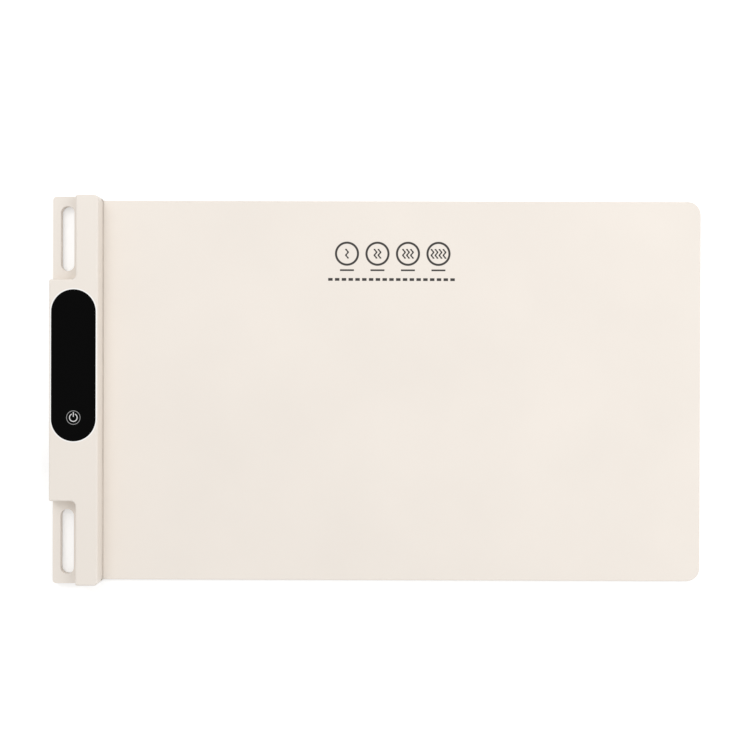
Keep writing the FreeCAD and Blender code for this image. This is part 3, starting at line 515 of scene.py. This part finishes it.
def plastic_finish(name, sizes, lens=None):
    """Warm off-white moulded plastic: a fine spark-eroded grain, slow drift of the colour, faint
    flow marks along the bar, and round the lens, where the lens lies in it, a bright rim that is a
    painted highlight of the opening's edge."""
    make = Finish(name)
    place = make.place()
    drift = make.noise(make.stretched(place, (1.0, 0.35, 1.0)), 14.0, 3.0)
    grain = make.noise(place, 1400.0, 2.0, 0.6)
    flow = make.noise(make.stretched(place, (1.0, 0.06, 1.0)), 160.0, 2.0)
    base = make.mix(drift.over(0.5, 0.5), tint(sizes.plastic, 0.978), tint(sizes.plastic, 1.018))
    base = make.mix(grain * 0.07, base, tint(sizes.plastic, 0.85))
    rough = sizes.roughness + (grain - 0.5) * 0.14 + (flow - 0.5) * 0.07
    height = grain + flow * 0.2
    if lens:
        x, y, z = make.parts(place)
        low, high = lens
        reach = (high[0] - low[0]) / 2.0
        run = (high[1] - low[1]) / 2.0 - reach
        from_x = x - (low[0] + high[0]) / 2.0
        from_y = (abs(y - (low[1] + high[1]) / 2.0) - run).high(0.0)
        out = from_middle(from_x, from_y) - reach
        # Painted highlight: a near-white rim round the lens where the edge of the opening catches
        # the light.
        rim = out.under(sizes.rim_width, 0.25 * MM) * z.over(high[2] - 0.3 * MM, LEVEL_SOFT)
        base = make.mix(rim, base, tint(sizes.rim, 1.0))
        rough = rough - rim * 0.2
        height = height * (1.0 - rim * 0.8) + rim * 1.6
    return make.principled(
        Base_Color=base,
        Roughness=rough,
        Specular_IOR_Level=0.42,
        Normal=make.bump(height, 0.16, 0.06 * MM),
    )


def lens_finish(name, sizes, top):
    """Smoked glossy panel with the power key printed behind it: a thin ring, and inside it an arc
    that is open at the top with a short upright stroke in the opening."""
    make = Finish(name)
    place = make.place()
    x, y, z = make.parts(place)
    from_x = x - sizes.key_x
    from_y = y - sizes.key_y
    radius = from_middle(from_x, from_y)
    ring = stroke_mask(radius - sizes.key_ring, sizes.key_ring_stroke, SIGN_SOFT) * 0.5
    beside_gap = abs(from_x).over(sizes.key_gap / 2.0, SIGN_SOFT)
    arc = stroke_mask(radius - sizes.key_arc, sizes.key_stroke, SIGN_SOFT)
    arc = arc * beside_gap.high(from_y.under(0.0, LEVEL_SOFT))
    upright = stroke_mask(from_x, sizes.key_stroke, SIGN_SOFT)
    upright = upright * stroke_mask(from_y - sizes.key_upright_y, sizes.key_upright, SIGN_SOFT)
    sign = ring.high(arc * 0.9).high(upright * 0.9) * z.over(top - 0.2 * MM, LEVEL_SOFT)
    smear = make.noise(make.stretched(place, (1.0, 0.4, 1.0)), 55.0, 4.0)
    base = make.mix(sign, tint(sizes.lens, 1.0), (0.80, 0.80, 0.80, 1.0))
    return make.principled(
        Base_Color=base,
        Roughness=0.07 + smear * 0.08 + sign * 0.3,
        Specular_IOR_Level=0.04,
        Normal=make.bump(make.noise(place, 30.0, 1.0), 0.02, 0.2 * MM),
    )


def grained(
    name,
    shade,
    roughness,
    metallic=0.0,
    scale=700.0,
    stretch=(1.0, 1.0, 1.0),
    depth=0.2,
    worn=0.12,
):
    """A general moulded, cast or turned finish: a directional grain moves colour, roughness and
    height, and slow cloudiness lies over it."""
    make = Finish(name)
    place = make.place()
    grain = make.noise(make.stretched(place, stretch), scale, 3.0)
    cloud = make.noise(place, scale / 25.0, 2.0)
    base = make.mix(cloud.over(0.5, 0.6), tint(shade, 1.0 - worn), tint(shade, 1.0 + worn / 2.0))
    base = make.mix(grain * worn, base, tint(shade, 0.6))
    return make.principled(
        Base_Color=base,
        Roughness=(roughness - 0.06 + grain * 0.1 + cloud * 0.05).high(0.03),
        Metallic=metallic,
        Normal=make.bump(grain, depth, 0.05 * MM),
    )


def striped(name, shade, second, axis, pitch, width, roughness, metallic=0.0):
    """Stripes across one axis, for ribbon cable cores, wound wire and printed tracks."""
    make = Finish(name)
    place = make.place()
    line = make.parts(place)[axis]
    stripe = stroke_mask(repeated(line, pitch), width, width * 0.3)
    grain = make.noise(place, 900.0, 2.0)
    base = make.mix(stripe, tint(second, 1.0), tint(shade, 1.0))
    base = make.mix(grain * 0.15, base, tint(shade, 0.6))
    return make.principled(
        Base_Color=base,
        Roughness=roughness + grain * 0.08 - stripe * 0.05,
        Metallic=metallic,
        Normal=make.bump(stripe + grain * 0.2, 0.4, 0.2 * MM),
    )


def board_finish(name, shade):
    """Printed board: dull resist, wandering copper tracks under it, and bright solder dots."""
    make = Finish(name)
    place = make.place()
    x, y = make.parts(place)[:2]
    track_pitch, track_width, track_wander = 2.4 * MM, 0.7 * MM, 3.0 * MM
    pad_pitch, pad_radius = 5.08 * MM, 0.6 * MM
    solder = (0.62, 0.62, 0.6, 1.0)
    wander = make.noise(place, 70.0, 2.0)
    track = stroke_mask(repeated(x + wander * track_wander, track_pitch), track_width, SIGN_SOFT)
    pads = from_middle(repeated(x, pad_pitch), repeated(y, pad_pitch)).under(pad_radius, SIGN_SOFT)
    base = make.mix(track * 0.6, tint(shade, 0.9), tint(shade, 1.5))
    base = make.mix(pads, base, solder)
    return make.principled(
        Base_Color=base,
        Roughness=0.38 + wander * 0.1,
        Metallic=pads * 0.9,
        Normal=make.bump(track * 0.4 + pads, 0.4, 0.05 * MM),
    )


def clad(node, material):
    """Puts one material on a carried-over node."""
    mesh = frame["nodes"][node].data
    mesh.materials.clear()
    mesh.materials.append(material)


def surface_mesh(name, points, faces, crease=35.0):
    """A mesh object at the origin from an array of points and a list of faces, smooth but for
    edges sharper than the crease angle in degrees."""
    mesh = bpy.data.meshes.new(name)
    mesh.from_pydata(np.asarray(points, float).tolist(), [], faces)
    mesh.validate()
    mesh.polygons.foreach_set("use_smooth", np.ones(len(mesh.polygons), bool))
    mesh.set_sharp_from_angle(angle=math.radians(crease))
    made = bpy.data.objects.new(name, mesh)
    bpy.context.scene.collection.objects.link(made)
    return made


def tube_faces(rings, around):
    """Faces of a grid of rings closed round, with one many-sided cap at each end. The rings run so
    that quads built ring by ring face outwards."""
    row = np.arange(rings - 1)[:, None] * around
    column = np.arange(around)[None, :]
    following = (column + 1) % around
    quads = np.stack(
        [row + column, row + following, row + around + following, row + around + column], axis=-1
    ).reshape(-1, 4)
    first = list(range(around))[::-1]
    last = list(range((rings - 1) * around, rings * around))
    return quads.tolist() + [first, last]


def soft_rows(start, end, count, corner, reach, closes):
    """Stations along X: even spacing, and where the mat ends there, rows that crowd into the
    corner arc, and then into the edge's reach, by the sine of even steps of a quarter turn."""
    if not closes:
        return np.linspace(start, end, count)
    corner_turn = np.linspace(0.0, QUARTER, 13)
    edge_turn = np.linspace(0.0, QUARTER, 8)[1:]
    arc = end - corner + (corner - reach) * np.sin(corner_turn)
    edge = end - reach * (1.0 - np.sin(edge_turn))
    return np.concatenate([np.linspace(start, end - corner, count)[:-1], arc, edge])


def plan_half(x, end, half, corner, closes):
    """Half width at x: full, and within the corner radius of the free end it falls along a
    quarter circle."""
    if not closes:
        return np.full_like(x, half)
    past = np.clip(x - (end - corner), 0.0, corner)
    return half - corner + np.sqrt(np.clip(corner**2 - past**2, 0.0, None))


def edge_distance(x, y, end, half, corner, closes):
    """Distance inwards from the outline: to the long side, to the free end, or to the corner's
    arc, whichever holds there."""
    side = half - np.abs(y)
    if not closes:
        return side
    over_x = x - (end - corner)
    over_y = np.abs(y) - (half - corner)
    in_corner = (over_x > 0.0) & (over_y > 0.0)
    arc = corner - np.hypot(np.maximum(over_x, 0.0), np.maximum(over_y, 0.0))
    return np.where(in_corner, arc, np.minimum(side, end - x))


def mat_layer(name, span, floor, roof, half, rounding, corner, count, closes, rim, lip):
    """One layer of one fold. Rows run along X, and each row is a closed loop in the YZ plane: the
    top from -Y to +Y, then the underside back. Columns crowd into the two long edges. The height
    at a point is the layer's level less the fall of a quarter circle within the rounding of the
    outline. A rounding above nought rounds the top, and one below nought the underside. With a
    rim, the top steps up by the lip within the rim's width of the outline."""
    start, end = span
    reach = max(abs(rounding), LEAST_EDGE)
    rows = soft_rows(start, end, count, corner, reach, closes)
    fall = reach * (1.0 - np.cos(np.linspace(0.0, QUARTER, 6)))
    depth = np.concatenate([fall, INNER_COLUMNS])
    if rim:
        clear = (depth < rim * 0.8) | (depth > rim * 1.2)
        depth = np.sort(np.concatenate([depth[clear], [rim, rim + LIP_WALL]]))
    halves = plan_half(rows, end, half, corner, closes)
    left = -(halves[:, None] - depth[None, :])
    y = np.concatenate([left, np.zeros((len(rows), 1)), -left[:, ::-1]], axis=1)
    x = np.repeat(rows[:, None], y.shape[1], axis=1)
    inward = np.clip(edge_distance(x, y, end, half, corner, closes), 0.0, None)
    short = np.clip(reach - inward, 0.0, reach)
    drop = reach - np.sqrt(np.clip(reach**2 - short**2, 0.0, None))
    top = np.full_like(y, roof)
    bottom = np.full_like(y, floor)
    if rounding > 0.0:
        top = roof - drop
    elif rounding < 0.0:
        bottom = floor + drop
    if rim:
        top = top + lip * (inward <= rim)
    loop = np.concatenate(
        [np.stack([x, y, top], -1), np.stack([x, y, bottom], -1)[:, ::-1]], axis=1
    )
    around = loop.shape[1]
    points = loop[:, ::-1].reshape(-1, 3)
    made = surface_mesh(name, points, tube_faces(len(rows), around))
    kept = made.data.attributes.new("rest_place", "FLOAT_VECTOR", "POINT")
    kept.data.foreach_set("vector", points.astype(np.float32).ravel())
    return made


def section_middle(number):
    """Middle of a mat section along X."""
    low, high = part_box(f"{TOP_SKIN[0]}_{number}")
    return (low.x + high.x) / 2.0


def fold_span(number):
    """Where fold number's piece starts and ends: from the middle of one section to the middle of
    the next, the first from the bar's face, the last out to the free end."""
    low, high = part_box(f"{TOP_SKIN[0]}_{number}")
    start = low.x if number == 1 else section_middle(number - 1)
    end = high.x if number == SECTIONS else section_middle(number)
    return start, end


def bent_fold(made):
    """Bakes the piece's transform into its mesh."""
    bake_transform(made)


def dressed_layer(layer, settings, material, rounding, rim=False):
    """All folds of one layer of the mat. A layer that is narrower than the top skin ends short of
    the free end by the same inset. With a rim, the layer's floor lies under the film and its rim
    rises round the film to the top skin."""
    stem, piece, slot = layer
    for number in range(1, SECTIONS + 1):
        low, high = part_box(f"{stem}_{number}")
        start, end = fold_span(number)
        closes = number == SECTIONS
        inset = max(0.0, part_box(f"{TOP_SKIN[0]}_{number}")[1].y - high.y)
        lip = rim_width = 0.0
        roof = high.z
        if rim:
            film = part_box(f"{HEATER[0]}_{number}")
            rim_width = high.y - film[1].y
            lip = high.z - film[0].z
            roof = film[0].z
        made = mat_layer(
            f"{piece}_{number}",
            span=(start, end - inset if closes else end),
            floor=low.z,
            roof=roof,
            half=high.y,
            rounding=rounding,
            corner=settings.corner - inset,
            count=settings.stations,
            closes=closes,
            rim=rim_width,
            lip=lip,
        )
        made.data.materials.append(material)
        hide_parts(f"{stem}_{number}")
        bent_fold(made)


def lens_surface(name, low, high, edge):
    """The lens as a stack of stadium outlines: each is the lens's outline set in by part of the
    edge radius and raised along a quarter circle. A last ring lies on the flat top."""
    radius = (high[0] - low[0]) / 2.0
    run = (high[1] - low[1]) / 2.0 - radius
    middle = ((low[0] + high[0]) / 2.0, (low[1] + high[1]) / 2.0)
    last_ring = edge + 0.6 * MM
    about = np.linspace(0.0, 2.0 * math.pi, 129)[:-1]
    rise = np.linspace(0.0, QUARTER, 7)
    inset = np.concatenate([[0.0], edge * (1.0 - np.cos(rise)), [last_ring]])
    height = np.concatenate([[low[2]], high[2] - edge + edge * np.sin(rise), [high[2]]])
    out = radius - inset
    x = middle[0] + out[:, None] * np.cos(about)[None, :]
    y = middle[1] + out[:, None] * np.sin(about)[None, :] + np.sign(np.sin(about))[None, :] * run
    z = np.repeat(height[:, None], about.size, axis=1)
    points = np.stack([x, y, z], -1).reshape(-1, 3)
    return surface_mesh(name, points, tube_faces(len(height), about.size))


class WARMER_OT_stage(bpy.types.Operator):
    """Floor, even sky, two soft lamps and the camera over the mat"""

    bl_idname = "warmer.stage"
    bl_label = "Stage"

    def execute(self, context):
        settings = context.scene.warmer_stage
        context.scene.view_settings.view_transform = "Standard"
        self.table(settings)
        self.sky(settings)
        self.lamp("key_lamp", settings.key_place, settings.key_size, settings.key_power)
        self.lamp("fill_lamp", settings.fill_place, settings.fill_size, settings.fill_power)
        self.camera(settings)
        return {"FINISHED"}

    def table(self, settings):
        """Pale square floor. It keeps the mat's shadow and glows a little where it is seen."""
        side = (-settings.floor_reach, settings.floor_reach)
        corners = [(x, y, -settings.floor_drop) for y in side for x in side]
        floor = surface_mesh("floor", corners, [[0, 1, 3, 2]])
        make = Finish("pale_table")
        shown = make.seen()
        paper = make.mix(
            make.noise(make.place(), 3.0), (0.84, 0.84, 0.84, 1.0), (0.86, 0.86, 0.86, 1.0)
        )
        matt = make.node("ShaderNodeBsdfDiffuse", Color=paper)
        glow = make.node("ShaderNodeEmission", Color=WHITE, Strength=shown * settings.floor_glow)
        both = make.node("ShaderNodeAddShader", i0=matt.outputs[0], i1=glow.outputs[0])
        floor.data.materials.append(make.finished(both))

    def sky(self, settings):
        """Even light all round, and plain white where it is seen."""
        make = Finish("even_sky", world=True)
        plain = make.node("ShaderNodeBackground", Color=WHITE, Strength=settings.sky)
        white = make.node("ShaderNodeBackground", Color=WHITE, Strength=1.0)
        pick = make.node(
            "ShaderNodeMixShader", i0=make.seen(), i1=plain.outputs[0], i2=white.outputs[0]
        )
        bpy.context.scene.world = make.finished(pick)

    def camera(self, settings):
        """Camera over the mat, looking straight down but for a fraction of a degree."""
        seen_from = bpy.data.cameras.new("camera")
        seen_from.lens = settings.lens
        seen_from.sensor_width = 36.0
        seen_from.clip_start = 0.01
        seen_from.clip_end = 20.0
        camera = bpy.data.objects.new("camera", seen_from)
        camera.location = (settings.camera_x, settings.camera_y, settings.camera_z)
        camera.rotation_euler = (settings.pitch, settings.yaw, settings.turn)
        bpy.context.scene.collection.objects.link(camera)
        bpy.context.scene.camera = camera

    def lamp(self, name, place, size, power):
        """A square lamp that looks at the middle of the mat."""
        light = bpy.data.lights.new(name, "AREA")
        light.shape = "SQUARE"
        light.size = size
        light.energy = power
        made = bpy.data.objects.new(name, light)
        made.location = place
        away = np.array(place) / np.linalg.norm(place)
        made.rotation_euler = (math.acos(away[2]), 0.0, math.atan2(away[1], away[0]) + QUARTER)
        bpy.context.scene.collection.objects.link(made)


class WARMER_OT_serving_skin(bpy.types.Operator):
    """Top skin of the mat in folds, with its soft edge and printed heat marks"""

    bl_idname = "warmer.serving_skin"
    bl_label = "Serving skin"

    def execute(self, context):
        settings = context.scene.warmer_mat
        material = silicone_finish("serving_silicone", settings, context.scene.warmer_print)
        dressed_layer(TOP_SKIN, settings, material, settings.edge)
        return {"FINISHED"}


class WARMER_OT_heater_layer(bpy.types.Operator):
    """Heating film between the skins"""

    bl_idname = "warmer.heater_layer"
    bl_label = "Heater layer"

    def execute(self, context):
        settings = context.scene.warmer_mat
        dressed_layer(HEATER, settings, heater_finish("heater_track", settings), 0.0)
        return {"FINISHED"}


class WARMER_OT_under_skin(bpy.types.Operator):
    """Under skin with its raised rim and gripping dots"""

    bl_idname = "warmer.under_skin"
    bl_label = "Under skin"

    def execute(self, context):
        settings = context.scene.warmer_mat
        material = under_finish("gripping_silicone", settings)
        dressed_layer(UNDER_SKIN, settings, material, -settings.edge, rim=True)
        return {"FINISHED"}


class WARMER_OT_bar_shell(bpy.types.Operator):
    """Moulded halves of the control bar and its feet"""

    bl_idname = "warmer.bar_shell"
    bl_label = "Bar shell"

    def execute(self, context):
        settings = context.scene.warmer_bar
        low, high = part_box("panel_lens")
        clad("top_cover", plastic_finish("shell_top", settings, (tuple(low), tuple(high))))
        clad("bottom_cover", plastic_finish("shell_under", settings))
        clad("foot_pads", grained("foot_rubber", rgb(66, 64, 62), 0.8, scale=1500.0, depth=0.5))
        return {"FINISHED"}


class WARMER_OT_lens(bpy.types.Operator):
    """Glossy black panel with a rounded edge and the power key"""

    bl_idname = "warmer.lens"
    bl_label = "Lens"

    def execute(self, context):
        settings = context.scene.warmer_bar
        low, high = (tuple(corner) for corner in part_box("panel_lens"))
        made = lens_surface("smoked_lens", low, high, settings.lens_edge)
        made.data.materials.append(lens_finish("smoked_panel", settings, high[2]))
        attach(made, BAR)
        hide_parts("panel_lens")
        return {"FINISHED"}


class WARMER_OT_mains_inlet(bpy.types.Operator):
    """Inlet socket and its two pins"""

    bl_idname = "warmer.mains_inlet"
    bl_label = "Mains inlet"

    def execute(self, context):
        clad("inlet_socket", grained("inlet_black", rgb(30, 30, 31), 0.42, scale=1200.0))
        clad(
            "inlet_pins",
            grained("nickel_pin", rgb(206, 200, 188), 0.24, 1.0, 1600.0, (0.1, 1.0, 1.0), 0.15),
        )
        return {"FINISHED"}


class WARMER_OT_electronics(bpy.types.Operator):
    """Boards, display, power parts and wiring inside the bar"""

    bl_idname = "warmer.electronics"
    bl_label = "Electronics"

    def execute(self, context):
        green = board_finish("board_green", rgb(28, 84, 56))
        black = grained("case_black", rgb(34, 34, 36), 0.5, scale=1400.0)
        clad("display_board", green)
        clad("power_board", green)
        clad("digit_display", grained("display_block", rgb(44, 45, 48), 0.3, scale=900.0))
        clad(
            "touch_electrode",
            grained("sponge_dark", rgb(58, 58, 60), 0.95, scale=2200.0, depth=0.9),
        )
        clad("status_lamps", grained("lamp_epoxy", rgb(236, 228, 200), 0.18, scale=500.0))
        clad("lens_adhesive", grained("black_tape", rgb(24, 24, 24), 0.86, scale=1800.0))
        clad(
            "interference_capacitor",
            grained("capacitor_yellow", rgb(232, 190, 42), 0.4, scale=600.0),
        )
        clad(
            "choke",
            striped(
                "wound_choke",
                rgb(178, 98, 44),
                rgb(54, 54, 58),
                ALONG_BAR,
                pitch=0.9 * MM,
                width=0.6 * MM,
                roughness=0.34,
                metallic=0.3,
            ),
        )
        clad(
            "smoothing_capacitor",
            grained("sleeved_can", rgb(36, 42, 66), 0.3, 0.1, 500.0, (1.0, 0.1, 1.0)),
        )
        clad("glass_fuse", grained("fuse_glass", rgb(206, 214, 214), 0.06, scale=200.0, worn=0.05))
        clad("fuse_clips", grained("clip_brass", rgb(196, 170, 106), 0.3, 1.0, 1300.0))
        clad(
            "heat_spreader",
            grained("spreader_metal", rgb(188, 190, 192), 0.34, 1.0, 1400.0, (1.0, 0.08, 1.0)),
        )
        clad("triac", black)
        clad("buzzer", black)
        clad("terminal_block", grained("terminal_green", rgb(52, 138, 84), 0.45, scale=900.0))
        clad("heater_leads", grained("lead_red", rgb(178, 44, 38), 0.6, scale=1500.0))
        clad("thermistor", grained("bead_brown", rgb(70, 52, 40), 0.35, scale=900.0))
        clad("thermal_cutoff", grained("cutoff_case", rgb(214, 206, 190), 0.4, scale=800.0))
        clad(
            "ribbon_cable",
            striped(
                "ribbon_grey",
                rgb(150, 152, 156),
                rgb(96, 98, 102),
                ALONG_BAR,
                pitch=1.27 * MM,
                width=0.9 * MM,
                roughness=0.5,
            ),
        )
        return {"FINISHED"}


class WARMER_OT_clamp_and_screws(bpy.types.Operator):
    """Tongues of the mat, the strip that clamps them, and all screws"""

    bl_idname = "warmer.clamp_and_screws"
    bl_label = "Clamp and screws"

    def execute(self, context):
        settings = context.scene.warmer_mat
        clad("mat_tongue", grained("tongue_silicone", tuple(settings.under), 0.66, scale=1400.0))
        clad("film_tongue", grained("tongue_film", tuple(settings.foil), 0.34, scale=900.0))
        clad(
            "clamp_strip",
            grained("rolled_steel", rgb(178, 180, 182), 0.32, 1.0, 1500.0, (1.0, 0.05, 1.0)),
        )
        steel = grained("zinc_screw", rgb(192, 192, 188), 0.3, 1.0, 1800.0, (1.0, 1.0, 0.2))
        clad("cover_screws", steel)
        clad("board_screws", steel)
        return {"FINISHED"}


ORDER = (
    WARMER_OT_stage,
    WARMER_OT_serving_skin,
    WARMER_OT_heater_layer,
    WARMER_OT_under_skin,
    WARMER_OT_bar_shell,
    WARMER_OT_lens,
    WARMER_OT_mains_inlet,
    WARMER_OT_electronics,
    WARMER_OT_clamp_and_screws,
)

GROUPS = {
    "warmer_mat": WARMER_PG_mat,
    "warmer_print": WARMER_PG_print,
    "warmer_bar": WARMER_PG_bar,
    "warmer_stage": WARMER_PG_stage,
}


class WARMER_PT_panel(bpy.types.Panel):
    """Lists the pieces and their settings"""

    bl_idname = "WARMER_PT_panel"
    bl_label = "Food warmer"
    bl_space_type = "VIEW_3D"
    bl_region_type = "UI"
    bl_category = "Warmer"

    def draw(self, context):
        for operator in ORDER:
            self.layout.operator(operator.bl_idname)
        for name, group in GROUPS.items():
            column = self.layout.column()
            for entry in group.__annotations__:
                column.prop(getattr(context.scene, name), entry)


def register():
    for group in GROUPS.values():
        bpy.utils.register_class(group)
    for name, group in GROUPS.items():
        setattr(bpy.types.Scene, name, bpy.props.PointerProperty(type=group))
    for operator in ORDER:
        bpy.utils.register_class(operator)
    bpy.utils.register_class(WARMER_PT_panel)


def unregister():
    bpy.utils.unregister_class(WARMER_PT_panel)
    for operator in reversed(ORDER):
        bpy.utils.unregister_class(operator)
    for name in GROUPS:
        delattr(bpy.types.Scene, name)
    for group in reversed(GROUPS.values()):
        bpy.utils.unregister_class(group)


def main():
    """Registers the classes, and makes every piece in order."""
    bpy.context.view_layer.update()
    register()
    for operator in ORDER:
        area, verb = operator.bl_idname.split(".")
        if getattr(getattr(bpy.ops, area), verb)() != {"FINISHED"}:
            raise RuntimeError(operator.bl_idname + " did not finish")
    bpy.context.view_layer.update()


if __name__ == "__main__":
    main()
